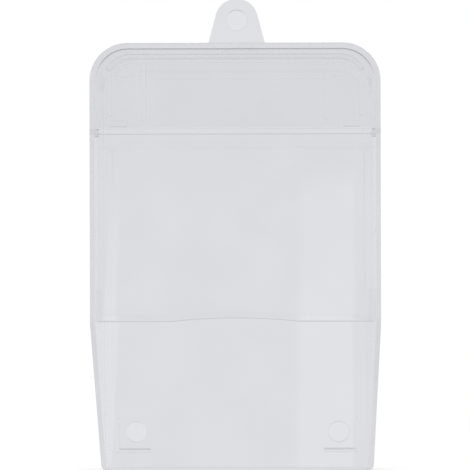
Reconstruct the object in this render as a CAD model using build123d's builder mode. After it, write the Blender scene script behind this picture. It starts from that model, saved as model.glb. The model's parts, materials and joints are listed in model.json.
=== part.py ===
"""Clear rain cover for a doorbell push: a wall plate, a hooded shell and a hinged front flap.

Millimetres, +Z up, front towards -Y. The origin is the centre of the hanging hole on the
wall side of the plate, so the wall is the plane Y = 0. Distances named forward are
measured from the wall to the front.
"""
import os
from math import acos, atan2, cos, hypot, sin, sqrt

from build123d import *

# Body
body_width = 60.0
body_height = 90.4
body_depth = 32.0
corner_radius = 7.8
foot_corner_radius = 0.9
plate_thickness = 1.5
bond_gap = 0.05
side_wall = 1.0
top_wall = 1.0
cavity_corner_radius = 6.9
hood_wall = 1.2
hood_height = 17.5
rim_radius = 0.4
hood_inner_radius = 0.7

# Lower part, where the side walls slope back and the body narrows a little
straight_side_height = 57.4
foot_depth = 0.5
foot_inset = 0.3

# Hanging tab and screw holes
tab_hole_rise = 7.7
tab_radius = 4.7
tab_base_width = 13.8
screw_hole_radius = 2.2
hole_edge_radius = 0.3
plate_foot_radius = 0.35
screw_side_distance = 7.55
screw_edge_distance = 8.1

# Corner ribs of the plate, which centre the lower corners of the push
nest_rib_thickness = 0.7
nest_rib_height = 2.5
nest_rib_leg = 6.8
nest_root_radius = 0.2
nest_tip_radius = 0.3
nest_side_distance = 4.0
nest_edge_distance = 4.55

# Ridge of the plate that centres the shell
ridge_thickness = 0.5
ridge_height = 0.5
ridge_clearance = 0.1

# Stiffening ribs inside the hood
hood_rib_depth = 3.0
hood_rib_thickness = 1.0
hood_rib_spacing = 37.9
hood_rib_end_gap = 1.7
hood_rib_top_gap = 3.0
frame_rib_thickness = 0.8
frame_rib_spacing = 52.0
frame_rib_drop = 5.9
frame_rib_length = 9.0
crown_rib_depth = 3.0
crown_rib_thickness = 0.9
crown_rib_edge_radius = 0.44
crown_rib_side_inset = 2.9
crown_rib_drop = 2.2
crown_rib_radius = 5.4
crown_rib_end_drop = 5.5

# Pads on the lower edge of the hood
edge_pad_width = 3.5
edge_pad_height = 1.3
edge_pad_depth = 2.0
edge_pad_spacing = 48.3
edge_pad_rise = 0.25
edge_pad_radius = 0.3

# Hinge of the flap
bead_radius = 0.7
bead_clearance = 0.1
bead_root_radius = 0.15
pin_radius = 0.55
pin_clearance = 0.05
pin_end_gap = 0.2
boss_wall = 0.5
boss_height = 0.9
boss_rise = 4.1
boss_inset = 0.1
boss_clearance = 0.25

# Flap
flap_thickness = 1.0
flap_side_clearance = 0.25
flap_notch_depth = 2.05
flap_length = 39.2
flap_corner_radius = 0.5
flap_edge_radius = 0.35
finger_arch_width = 27.0
finger_arch_rise = 0.75

# Stops inside the side walls, behind the closed flap
stop_clearance = 0.3
stop_ledge_width = 1.5
stop_ledge_height = 6.8
stop_ledge_depth = 2.0
stop_nub_radius = 0.5
stop_nub_drop = 38.6

# Places that follow from the sizes
body_top_z = -tab_hole_rise
body_bottom_z = body_top_z - body_height
hood_bottom_z = body_top_z - hood_height
kink_z = body_top_z - straight_side_height
screw_row_z = body_bottom_z + screw_edge_distance
half_width = body_width / 2
foot_half_width = half_width - foot_inset
screw_spacing = 2 * (foot_half_width - screw_side_distance)
inner_half_width = half_width - side_wall
side_taper = foot_inset / (kink_z - body_bottom_z)
shell_back_forward = plate_thickness + bond_gap
hood_inner_forward = body_depth - hood_wall

bore_radius = pin_radius + pin_clearance
boss_radius = bore_radius + boss_wall
hinge_forward = body_depth - boss_radius - boss_inset
hinge_z = hood_bottom_z - bead_clearance - bead_radius

flap_half_width = inner_half_width - flap_side_clearance
flap_back_forward = hinge_forward - flap_thickness / 2
flap_bottom_z = hinge_z - flap_length
stop_forward = flap_back_forward - stop_clearance

# How far a cut runs past the solid that it opens
overrun = 1.0


def arch(side_inset, top_z, bottom_z, radius):
    """Return a face with square feet and rounded top corners, its sides inset from those of the body."""
    half = half_width - side_inset
    foot_half = half - side_taper * (kink_z - bottom_z)
    with BuildSketch() as face:
        with BuildLine():
            Polyline(
                (-foot_half, bottom_z),
                (-half, kink_z),
                (-half, top_z),
                (half, top_z),
                (half, kink_z),
                (foot_half, bottom_z),
                close=True,
            )
        make_face()
        fillet(face.vertices().group_by(Axis.Y)[-1], radius)
    return face.sketch


def body_outline():
    """Return the outline that the plate and the shell share."""
    with BuildSketch() as face:
        add(arch(0, body_top_z, body_bottom_z, corner_radius))
        fillet(face.vertices().group_by(Axis.Y)[0], foot_corner_radius)
    return face.sketch


def tab_outline():
    """Return the hanging tab: a round end about the hole, with straight sides that touch it."""
    base_half = tab_base_width / 2
    side_angle = atan2(body_top_z, base_half) + acos(tab_radius / hypot(base_half, body_top_z))
    touch_x = tab_radius * cos(side_angle)
    touch_z = tab_radius * sin(side_angle)
    root_z = body_top_z - corner_radius
    with BuildSketch() as face:
        with BuildLine():
            Polyline((touch_x, touch_z), (base_half, body_top_z), (base_half, root_z))
            Line((base_half, root_z), (-base_half, root_z))
            Polyline((-base_half, root_z), (-base_half, body_top_z), (-touch_x, touch_z))
            ThreePointArc((-touch_x, touch_z), (0, tab_radius), (touch_x, touch_z))
        make_face()
    return face.sketch


def arch_band(side_inset, top_z, bottom_z, radius, thickness):
    """Return a band of even thickness that follows the inside of an arch, open at the foot."""
    inner_foot_z = bottom_z - overrun
    with BuildSketch() as face:
        add(arch(side_inset, top_z, bottom_z, radius))
        inner = arch(side_inset + thickness, top_z - thickness, inner_foot_z, radius - thickness)
        add(inner, mode=Mode.SUBTRACT)
    return face.sketch


# Wall plate, with the hanging tab, the screw holes, the shell's ridge and the corner ribs
with BuildPart() as back_plate:
    with BuildSketch(Plane.XZ):
        add(body_outline())
        add(tab_outline())
        Circle(screw_hole_radius, mode=Mode.SUBTRACT)
        with Locations((0, screw_row_z)):
            with GridLocations(screw_spacing, 0, 2, 1):
                Circle(screw_hole_radius, mode=Mode.SUBTRACT)
    extrude(amount=plate_thickness)
    front_circles = back_plate.edges().filter_by(GeomType.CIRCLE).group_by(Axis.Y)[0]
    fillet(front_circles.filter_by(lambda edge: abs(edge.radius - screw_hole_radius) < 0.01), hole_edge_radius)
    fillet(back_plate.edges().group_by(Axis.Z)[0].group_by(Axis.Y)[0], plate_foot_radius)

    ridge_inset = side_wall + ridge_clearance
    ridge_top_z = body_top_z - top_wall - ridge_clearance
    ridge_radius = cavity_corner_radius - ridge_clearance
    with BuildSketch(Plane.XZ.offset(plate_thickness)):
        add(arch_band(ridge_inset, ridge_top_z, body_bottom_z, ridge_radius, ridge_thickness))
    extrude(amount=ridge_height)

    nest_foot_z = body_bottom_z + nest_edge_distance
    nest_half_width = foot_half_width - nest_side_distance
    with BuildSketch(Plane.XZ.offset(plate_thickness)):
        for side in (-1, 1):
            outer_x = side * (nest_half_width + nest_rib_thickness)
            inner_end_x = side * (nest_half_width - nest_rib_leg)
            with BuildLine():
                Polyline(
                    (outer_x, nest_foot_z + nest_rib_leg),
                    (outer_x, nest_foot_z - nest_rib_thickness),
                    (inner_end_x, nest_foot_z - nest_rib_thickness),
                    (inner_end_x, nest_foot_z),
                    (side * nest_half_width, nest_foot_z),
                    (side * nest_half_width, nest_foot_z + nest_rib_leg),
                    close=True,
                )
            make_face()
    extrude(amount=nest_rib_height)
    rib_edges = back_plate.edges(Select.LAST).group_by(Axis.Y)
    fillet(rib_edges[0], nest_tip_radius)
    fillet(rib_edges[-1], nest_root_radius)

# Shell: top wall, side walls that slope back at the bottom, and the hood across the front
with BuildPart() as front_shell:
    with BuildSketch(Plane.XZ.offset(shell_back_forward)):
        add(body_outline())
    extrude(amount=body_depth - shell_back_forward)
    fillet(front_shell.faces().sort_by(Axis.Y)[0].edges(), rim_radius)

    with BuildSketch(Plane.XZ.offset(shell_back_forward)):
        add(arch(side_wall, body_top_z - top_wall, body_bottom_z - overrun, cavity_corner_radius))
    extrude(amount=hood_inner_forward - shell_back_forward, mode=Mode.SUBTRACT)
    cavity_edges = front_shell.edges(Select.LAST).group_by(Axis.Y)[0]
    fillet(cavity_edges.filter_by(lambda edge: edge.center().Z > body_bottom_z + overrun), hood_inner_radius)

    with BuildSketch(Plane.XZ.offset(hood_inner_forward - hood_inner_radius)):
        with Locations((0, hood_bottom_z)):
            front_opening = (2 * inner_half_width, body_height - hood_height + overrun)
            Rectangle(*front_opening, align=(Align.CENTER, Align.MAX))
    extrude(amount=hood_inner_radius + hood_wall + overrun, mode=Mode.SUBTRACT)

    foot_forward = shell_back_forward + foot_depth
    with BuildSketch(Plane.YZ):
        with BuildLine():
            Polyline(
                (-body_depth - overrun, kink_z),
                (-body_depth, kink_z),
                (-foot_forward, body_bottom_z),
                (-foot_forward, body_bottom_z - overrun),
                (-body_depth - overrun, body_bottom_z - overrun),
                close=True,
            )
        make_face()
    extrude(amount=half_width + overrun, both=True, mode=Mode.SUBTRACT)

    # Stiffening frame on each side of the hood, on its inner face
    rib_top_z = body_top_z - top_wall - hood_rib_top_gap
    rib_end_z = hood_bottom_z + hood_rib_end_gap
    cross_z = body_top_z - frame_rib_drop
    with BuildSketch(Plane.XZ.offset(hood_inner_forward)):
        for side in (-1, 1):
            with Locations((side * hood_rib_spacing / 2, rib_top_z)):
                Rectangle(hood_rib_thickness, rib_top_z - rib_end_z, align=(Align.CENTER, Align.MAX))
            cross_length = (frame_rib_spacing - hood_rib_spacing + frame_rib_thickness) / 2
            cross_align = Align.MIN if side > 0 else Align.MAX
            with Locations((side * hood_rib_spacing / 2, cross_z)):
                Rectangle(cross_length, frame_rib_thickness, align=(cross_align, Align.MAX))
            with Locations((side * frame_rib_spacing / 2, cross_z)):
                Rectangle(frame_rib_thickness, frame_rib_length, align=(Align.CENTER, Align.MAX))
    extrude(amount=-hood_rib_depth)

    # Crown rib under the top wall, which bends down at both corners
    crown_top_z = body_top_z - crown_rib_drop
    crown_end_z = body_top_z - crown_rib_end_drop
    with BuildSketch(Plane.XZ.offset(hood_inner_forward)):
        add(arch_band(crown_rib_side_inset, crown_top_z, body_bottom_z, crown_rib_radius, crown_rib_thickness))
        with Locations((0, crown_end_z)):
            Rectangle(body_width, body_height, align=(Align.CENTER, Align.MAX), mode=Mode.SUBTRACT)
    extrude(amount=-crown_rib_depth)
    fillet(front_shell.edges(Select.LAST).group_by(Axis.Y)[-1], crown_rib_edge_radius)

    # Pads just above the hood's lower edge
    with BuildSketch(Plane.XZ.offset(hood_inner_forward)):
        with Locations((0, hood_bottom_z + edge_pad_rise)):
            with GridLocations(edge_pad_spacing, 0, 2, 1):
                Rectangle(edge_pad_width, edge_pad_height, align=(Align.CENTER, Align.MIN))
    extrude(amount=-edge_pad_depth)
    pad_rear_edges = front_shell.edges(Select.LAST).group_by(Axis.Y)[-1]
    fillet(pad_rear_edges.group_by(Axis.Z)[0], edge_pad_radius)

    # Hinge bosses, closing ledges and nubs on the inner face of each side wall
    for side in (-1, 1):
        with BuildSketch(Plane.YZ.offset(side * inner_half_width)):
            with Locations((-hinge_forward, hinge_z)):
                Circle(boss_radius)
                Rectangle(2 * boss_radius, boss_rise, align=(Align.CENTER, Align.MIN))
        extrude(amount=-side * boss_height)
        with BuildSketch(Plane.YZ.offset(side * inner_half_width)):
            with Locations((-stop_forward, flap_bottom_z)):
                Rectangle(stop_ledge_depth, stop_ledge_height, align=(Align.MIN, Align.MIN))
        extrude(amount=-side * stop_ledge_width)
        with BuildSketch(Plane.XZ.offset(stop_forward)):
            with Locations((side * inner_half_width, body_top_z - stop_nub_drop)):
                Circle(stop_nub_radius)
        extrude(amount=-stop_ledge_depth)

    with BuildSketch(Plane.YZ):
        with Locations((-hinge_forward, hinge_z)):
            Circle(bore_radius)
    extrude(amount=half_width + overrun, both=True, mode=Mode.SUBTRACT)

# Flap, with its round top bead and the two hinge pins in one moulding
with BuildPart() as front_flap:
    notch_half = inner_half_width - boss_height - boss_clearance
    notch_z = hood_bottom_z - flap_notch_depth
    arch_half = finger_arch_width / 2
    with BuildSketch(Plane.XZ.offset(hinge_forward)) as panel_face:
        with BuildLine():
            Polyline(
                (-arch_half, flap_bottom_z),
                (-flap_half_width, flap_bottom_z),
                (-flap_half_width, notch_z),
                (-notch_half, notch_z),
                (-notch_half, hinge_z),
                (notch_half, hinge_z),
                (notch_half, notch_z),
                (flap_half_width, notch_z),
                (flap_half_width, flap_bottom_z),
                (arch_half, flap_bottom_z),
            )
            ThreePointArc(
                (arch_half, flap_bottom_z),
                (0, flap_bottom_z + finger_arch_rise),
                (-arch_half, flap_bottom_z),
            )
        make_face()
        lower_corners = panel_face.vertices().group_by(Axis.Y)[0].sort_by(Axis.X)
        fillet([lower_corners[0], lower_corners[-1]], flap_corner_radius)
    extrude(amount=flap_thickness / 2, both=True)
    lower_edges = front_flap.edges().filter_by(Axis.Y, reverse=True).filter_by_position(
        Axis.Z, flap_bottom_z - overrun, flap_bottom_z + finger_arch_rise
    )
    fillet(lower_edges, flap_edge_radius)
    with BuildSketch(Plane.YZ):
        with Locations((-hinge_forward, hinge_z)):
            Circle(bead_radius)
    extrude(amount=notch_half, both=True)
    bead_root_z = hinge_z - sqrt(bead_radius**2 - (flap_thickness / 2) ** 2)
    bead_roots = front_flap.edges().filter_by(Axis.X).filter_by_position(Axis.Z, bead_root_z - 0.01, bead_root_z + 0.01)
    fillet(bead_roots, bead_root_radius)
    with BuildSketch(Plane.YZ):
        with Locations((-hinge_forward, hinge_z)):
            Circle(pin_radius)
    extrude(amount=half_width - pin_end_gap, both=True)

back_plate.part.label = "back_plate"
front_shell.part.label = "front_shell"
front_flap.part.label = "front_flap"

os.makedirs("parts", exist_ok=True)
export_step(back_plate.part, "parts/back_plate.step")
export_step(front_shell.part, "parts/front_shell.step")
export_step(front_flap.part, "parts/front_flap.step")
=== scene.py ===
"""Clear plastic rain cover for a doorbell push, upright on a pale floor in soft studio light.

Blender units are metres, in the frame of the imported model: +Z up, front towards -Y.
"""

import json
from math import radians

import bpy
from mathutils import Matrix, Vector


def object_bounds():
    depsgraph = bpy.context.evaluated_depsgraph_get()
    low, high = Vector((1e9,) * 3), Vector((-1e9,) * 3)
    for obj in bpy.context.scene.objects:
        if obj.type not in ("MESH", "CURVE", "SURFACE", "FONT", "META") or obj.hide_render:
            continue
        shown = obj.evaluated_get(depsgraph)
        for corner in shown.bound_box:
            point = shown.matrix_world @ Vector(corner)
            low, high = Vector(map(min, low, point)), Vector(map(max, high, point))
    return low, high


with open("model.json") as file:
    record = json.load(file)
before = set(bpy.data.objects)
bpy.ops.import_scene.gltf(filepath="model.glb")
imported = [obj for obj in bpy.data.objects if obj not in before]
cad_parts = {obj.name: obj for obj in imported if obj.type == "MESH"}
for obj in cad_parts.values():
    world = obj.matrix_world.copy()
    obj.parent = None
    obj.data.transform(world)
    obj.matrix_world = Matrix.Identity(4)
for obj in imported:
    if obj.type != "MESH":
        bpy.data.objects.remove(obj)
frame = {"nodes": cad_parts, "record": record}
cad_box = [list(corner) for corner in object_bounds()]
foot_z = cad_box[0][2]

# Camera, as measured on the photograph
image_side = 470.0
focal_px = 2396.0
vanishing_px = (266.0, 264.0)
camera_distance = 0.5252
camera_x = 0.0063
camera_height = 0.0448
camera_roll = radians(-0.14)
sensor_width = 36.0
clip_range = (0.01, 50.0)

# Tones
white = (1.0, 1.0, 1.0)
black = (0.0, 0.0, 0.0)
backdrop_tone = (0.755, 0.759, 0.790)
hole_shade_tone = (0.765, 0.769, 0.800)
# painted shade: the grey that glowing cards show through the screw holes
ceiling_tone = (0.42, 0.42, 0.44)
front_tone = (0.36, 0.365, 0.38)
upper_front_tone = (0.12, 0.12, 0.13)
window_tone = (0.84, 0.845, 0.86)
overhead_tone = (0.10, 0.10, 0.11)

# World: a tone for each height of a ray's direction, 0 level and 1 straight up. Behind is +Y.
behind_stops = [(0.42, backdrop_tone), (0.60, ceiling_tone)]
front_through_stops = [(0.12, backdrop_tone), (0.45, ceiling_tone)]
front_mirror_stops = [
    (0.02, front_tone),
    (0.045, upper_front_tone),
    (0.086, upper_front_tone),
    (0.094, window_tone),
    (0.16, window_tone),
    (0.30, overhead_tone),
]
behind_slope = 8.0  # how fast the front turns into what is behind, along a ray's Y

# Floor
floor_radius = 3.0
floor_sides = 64
floor_gap = 0.0002
shadow_reach = 0.012
shadow_samples = 16
shadow_tone = (0.60, 0.60, 0.61)
shadow_end = 0.95
shadow_through_tone = tuple(0.72 * channel for channel in backdrop_tone)
shadow_through_range = (0.60, 0.92)

# Glowing cards of painted shade behind the screw holes
card_radius = 0.0026
card_sides = 32
card_gap = 0.0002

# Soft strips of light: centre, width and height, lean, tone, fades at the sides, fade at the top
strip_y = -1.23
strips = {
    "band_right": ((0.0486, strip_y, -0.1325), (0.0466, 0.305), 0.0, 1.20, (0.18, 0.08), 0.10),
    "band_left": (
        (-0.1076, strip_y, -0.140), (0.0100, 0.2894), radians(3.4), 1.15, (0.20, 0.20), 0.14
    ),
}
strip_blue = 1.02
strip_dim = 0.8
strip_dim_range = (0.71, 0.76)

# Clear plastic: a piece's tint, the scale of its waviness and the offset of its noises
plastics = {
    "back_plate": ((0.978, 0.978, 0.980), 45.0, 0.0),
    "front_shell": ((0.962, 0.962, 0.964), 55.0, 13.0),
    "front_flap": ((0.990, 0.990, 0.992), 70.0, 29.0),
}
plastic_ior = 1.49
tint_spread = 0.006
cloud_range = (0.35, 0.65)
haze_roughness = 0.012
haze_range = (0.50, 0.75)
scratch_roughness = 0.07
scratch_width = 0.004
scratched_range = (0.56, 0.66)
wave_strength = 0.05
wave_depth = 0.0002

# Noises of the plastic: scale, stretch, detail and shift; the waviness has a scale for each piece
even = (1.0, 1.0, 1.0)
cloud_noise = (90.0, even, 3.0, 0.0)
haze_noise = (260.0, even, 4.0, 3.0)
scratch_noise = (700.0, (1.0, 1.0, 0.03), 2.0, 7.0)
scratched_noise = (60.0, even, 2.0, 5.0)
wave_noise = ((1.0, 1.0, 0.35), 1.0, 9.0)

# Clear walls behind each other need many bounces, or their rims turn black
light_bounces = 160


def make_camera():
    """Camera square to the wall plate, shifted so that depth lines meet at the vanishing point."""
    data = bpy.data.cameras.new("photo_camera")
    data.sensor_width = sensor_width
    data.lens = focal_px * sensor_width / image_side
    data.shift_x = (image_side / 2 - vanishing_px[0]) / image_side
    data.shift_y = (vanishing_px[1] - image_side / 2) / image_side
    data.clip_start, data.clip_end = clip_range
    camera = bpy.data.objects.new("photo_camera", data)
    place = Matrix.Translation((camera_x, -camera_distance, foot_z + camera_height))
    upright = Matrix.Rotation(radians(90), 4, "X")
    camera.matrix_world = place @ upright @ Matrix.Rotation(camera_roll, 4, "Z")
    bpy.context.scene.collection.objects.link(camera)
    bpy.context.scene.camera = camera


def empty_tree(owner):
    """Turn on the nodes of a material or world, clear them and return its nodes and links."""
    owner.use_nodes = True
    owner.node_tree.nodes.clear()
    return owner.node_tree.nodes, owner.node_tree.links


def add_math(nodes, links, operation, *values, clamp=False):
    """Add a Math node; a value is a socket or a number."""
    node = nodes.new("ShaderNodeMath")
    node.operation = operation
    node.use_clamp = clamp
    for slot, value in enumerate(values):
        if hasattr(value, "links"):
            links.new(value, node.inputs[slot])
        else:
            node.inputs[slot].default_value = value
    return node.outputs[0]


def add_ramp(nodes, links, factor, stops, smooth=True):
    """Add a colour ramp with the stops [(position, colour), ...]."""
    node = nodes.new("ShaderNodeValToRGB")
    node.color_ramp.interpolation = "EASE" if smooth else "LINEAR"
    elements = node.color_ramp.elements
    while len(elements) < len(stops):
        elements.new(0.5)
    for element, (position, colour) in zip(elements, stops):
        element.position = position
        element.color = (*colour, 1.0)
    links.new(factor, node.inputs[0])
    return node.outputs[0]


def add_mix(nodes, links, factor, first, second):
    """Add a colour mix; an input is a socket or a colour."""
    node = nodes.new("ShaderNodeMix")
    node.data_type = "RGBA"
    links.new(factor, node.inputs[0])
    for slot, value in ((6, first), (7, second)):
        if hasattr(value, "links"):
            links.new(value, node.inputs[slot])
        else:
            node.inputs[slot].default_value = (*value, 1.0)
    return node.outputs[2]


def add_output(nodes, links, shader, kind="ShaderNodeOutputMaterial"):
    """Add the output node and link a shader to its surface."""
    out = nodes.new(kind)
    links.new(shader.outputs[0], out.inputs["Surface"])


def glow_where(nodes, links, factor, tone):
    """Finish a material that glows where the factor is 1 and is transparent where it is 0."""
    glow = nodes.new("ShaderNodeEmission")
    glow.inputs["Color"].default_value = (*tone, 1.0)
    clear = nodes.new("ShaderNodeBsdfTransparent")
    blend = nodes.new("ShaderNodeMixShader")
    links.new(factor, blend.inputs[0])
    links.new(clear.outputs[0], blend.inputs[1])
    links.new(glow.outputs[0], blend.inputs[2])
    add_output(nodes, links, blend)


def make_world():
    """White to the camera; to the plastic a pale backdrop behind it and a darker room in front."""
    world = bpy.data.worlds.new("studio")
    bpy.context.scene.world = world
    nodes, links = empty_tree(world)
    coord = nodes.new("ShaderNodeTexCoord")
    direction = nodes.new("ShaderNodeSeparateXYZ")
    links.new(coord.outputs["Generated"], direction.inputs[0])
    rise = direction.outputs["Z"]
    tilt = add_math(nodes, links, "ABSOLUTE", rise)
    front_through = add_ramp(nodes, links, tilt, front_through_stops)
    to_behind = (direction.outputs["Y"], behind_slope, 0.5)
    is_behind = add_math(nodes, links, "MULTIPLY_ADD", *to_behind, clamp=True)
    behind = add_ramp(nodes, links, tilt, behind_stops)
    front_mirror = add_ramp(nodes, links, rise, front_mirror_stops)
    path = nodes.new("ShaderNodeLightPath")
    is_transmitted = path.outputs["Is Transmission Ray"]
    front = add_mix(nodes, links, is_transmitted, front_mirror, front_through)
    around = add_mix(nodes, links, is_behind, front, behind)
    seen = add_mix(nodes, links, path.outputs["Is Camera Ray"], around, white)
    back = nodes.new("ShaderNodeBackground")
    links.new(seen, back.inputs["Color"])
    add_output(nodes, links, back, "ShaderNodeOutputWorld")


def make_floor():
    """Floor, white to the camera and pale through the plastic, with the cover's soft shadow."""
    bpy.ops.mesh.primitive_circle_add(
        vertices=floor_sides,
        radius=floor_radius,
        fill_type="NGON",
        location=(0, 0, foot_z - floor_gap),
    )
    floor = bpy.context.object
    floor.name = "studio_floor"
    material = bpy.data.materials.new("studio_floor")
    nodes, links = empty_tree(material)
    shade = nodes.new("ShaderNodeAmbientOcclusion")
    shade.samples = shadow_samples
    shade.inputs["Distance"].default_value = shadow_reach
    openness = shade.outputs["AO"]
    shown_stops = [(0.0, shadow_tone), (shadow_end, white)]
    shown = add_ramp(nodes, links, openness, shown_stops, smooth=False)
    through_stops = list(zip(shadow_through_range, (shadow_through_tone, backdrop_tone)))
    through = add_ramp(nodes, links, openness, through_stops, smooth=False)
    path = nodes.new("ShaderNodeLightPath")
    tone = add_mix(nodes, links, path.outputs["Is Camera Ray"], through, shown)
    glow = nodes.new("ShaderNodeEmission")
    links.new(tone, glow.inputs["Color"])
    add_output(nodes, links, glow)
    floor.data.materials.append(material)
    floor.visible_glossy = False


def add_hole_shade_cards():
    """Glowing cards just behind the screw holes that paint shade into them, seen only through them
    and from the front.
    """
    tab_hole, row = frame["record"]["mounts"][:2]
    half_spacing = row["dims"]["spacing_x_mm"] / 1000 / 2
    places = [(0.0, tab_hole["pos_m"][2])]
    places += [(side * half_spacing, row["pos_m"][2]) for side in (-1, 1)]
    material = bpy.data.materials.new("hole_shade_card")
    nodes, links = empty_tree(material)
    path = nodes.new("ShaderNodeLightPath")
    surface = nodes.new("ShaderNodeNewGeometry")
    from_front = (path.outputs["Is Camera Ray"], surface.outputs["Backfacing"])
    shown = add_math(nodes, links, "SUBTRACT", *from_front, clamp=True)
    # painted shade: the cards glow grey only where the camera sees their front
    glow_where(nodes, links, shown, hole_shade_tone)
    for number, (x, z) in enumerate(places):
        bpy.ops.mesh.primitive_circle_add(
            vertices=card_sides,
            radius=card_radius,
            fill_type="NGON",
            location=(x, card_gap, z),
            rotation=(radians(90), 0, 0),
        )
        card = bpy.context.object
        card.name = f"hole_shade_card_{number}"
        card.data.materials.append(material)


def add_strip(name, centre, size, lean, tone, side_fades, top_fade):
    """Soft strip of light in front of the cover that only reflections see, with faded edges."""
    bpy.ops.mesh.primitive_plane_add(size=1.0, location=centre, rotation=(radians(90), lean, 0))
    strip = bpy.context.object
    strip.name = name
    strip.scale = (*size, 1.0)
    material = bpy.data.materials.new(name)
    nodes, links = empty_tree(material)
    coord = nodes.new("ShaderNodeTexCoord")
    split = nodes.new("ShaderNodeSeparateXYZ")
    links.new(coord.outputs["Generated"], split.inputs[0])
    left, right = side_fades
    across_stops = [(0.0, black), (left, white), (1.0 - right, white), (1.0, black)]
    across = add_ramp(nodes, links, split.outputs["X"], across_stops)
    dim = (strip_dim,) * 3
    dim_start, dim_end = strip_dim_range
    upward_stops = [(dim_start, white), (dim_end, dim), (1.0 - top_fade, dim), (1.0, black)]
    upward = add_ramp(nodes, links, split.outputs["Y"], upward_stops)
    shown = add_math(nodes, links, "MULTIPLY", across, upward)
    glow_where(nodes, links, shown, (tone, tone, tone * strip_blue))
    strip.data.materials.append(material)
    strip.visible_camera = False
    strip.visible_transmission = False
    strip.visible_diffuse = False
    strip.visible_shadow = False


def clear_plastic(name, tint, wave_scale, offset):
    """Clear moulded plastic with clouds in its tint, haze, hairline scratches and waviness."""
    material = bpy.data.materials.new(name)
    material.use_nodes = True
    nodes = material.node_tree.nodes
    links = material.node_tree.links
    shader = nodes["Principled BSDF"]
    shader.inputs["Transmission Weight"].default_value = 1.0
    shader.inputs["IOR"].default_value = plastic_ior
    coord = nodes.new("ShaderNodeTexCoord")

    def noise(scale, stretch, detail, shift):
        place = nodes.new("ShaderNodeMapping")
        place.inputs["Location"].default_value = (offset + shift, offset, shift)
        place.inputs["Scale"].default_value = stretch
        links.new(coord.outputs["Object"], place.inputs["Vector"])
        texture = nodes.new("ShaderNodeTexNoise")
        texture.inputs["Scale"].default_value = scale
        texture.inputs["Detail"].default_value = detail
        links.new(place.outputs[0], texture.inputs["Vector"])
        return texture.outputs["Fac"]

    def fade(factor, between, low, high):
        return add_ramp(nodes, links, factor, list(zip(between, (low, high))))

    deep = tuple(channel - tint_spread for channel in tint)
    pale = tuple(min(channel + tint_spread, 1.0) for channel in tint)
    clouds = fade(noise(*cloud_noise), cloud_range, deep, pale)
    links.new(clouds, shader.inputs["Base Color"])

    haze = fade(noise(*haze_noise), haze_range, black, (haze_roughness,) * 3)
    from_line = add_math(nodes, links, "SUBTRACT", noise(*scratch_noise), 0.5)
    from_line = add_math(nodes, links, "ABSOLUTE", from_line)
    line = fade(from_line, (0.0, scratch_width), white, black)
    scratched = (scratch_roughness,) * 3
    where = fade(noise(*scratched_noise), scratched_range, black, scratched)
    scratches = add_math(nodes, links, "MULTIPLY", line, where)
    roughness = add_math(nodes, links, "ADD", haze, scratches)
    links.new(roughness, shader.inputs["Roughness"])

    bump = nodes.new("ShaderNodeBump")
    bump.inputs["Strength"].default_value = wave_strength
    bump.inputs["Distance"].default_value = wave_depth
    links.new(noise(wave_scale, *wave_noise), bump.inputs["Height"])
    links.new(bump.outputs[0], shader.inputs["Normal"])
    return material


make_camera()
make_world()
make_floor()
add_hole_shade_cards()
for name, values in strips.items():
    add_strip(name, *values)

for name, values in plastics.items():
    slots = frame["nodes"][name].data.materials
    slots.clear()
    slots.append(clear_plastic(name + "_plastic", *values))

scene = bpy.context.scene
scene.view_settings.view_transform = "Standard"
scene.cycles.max_bounces = light_bounces
scene.cycles.transmission_bounces = light_bounces
scene.cycles.glossy_bounces = light_bounces
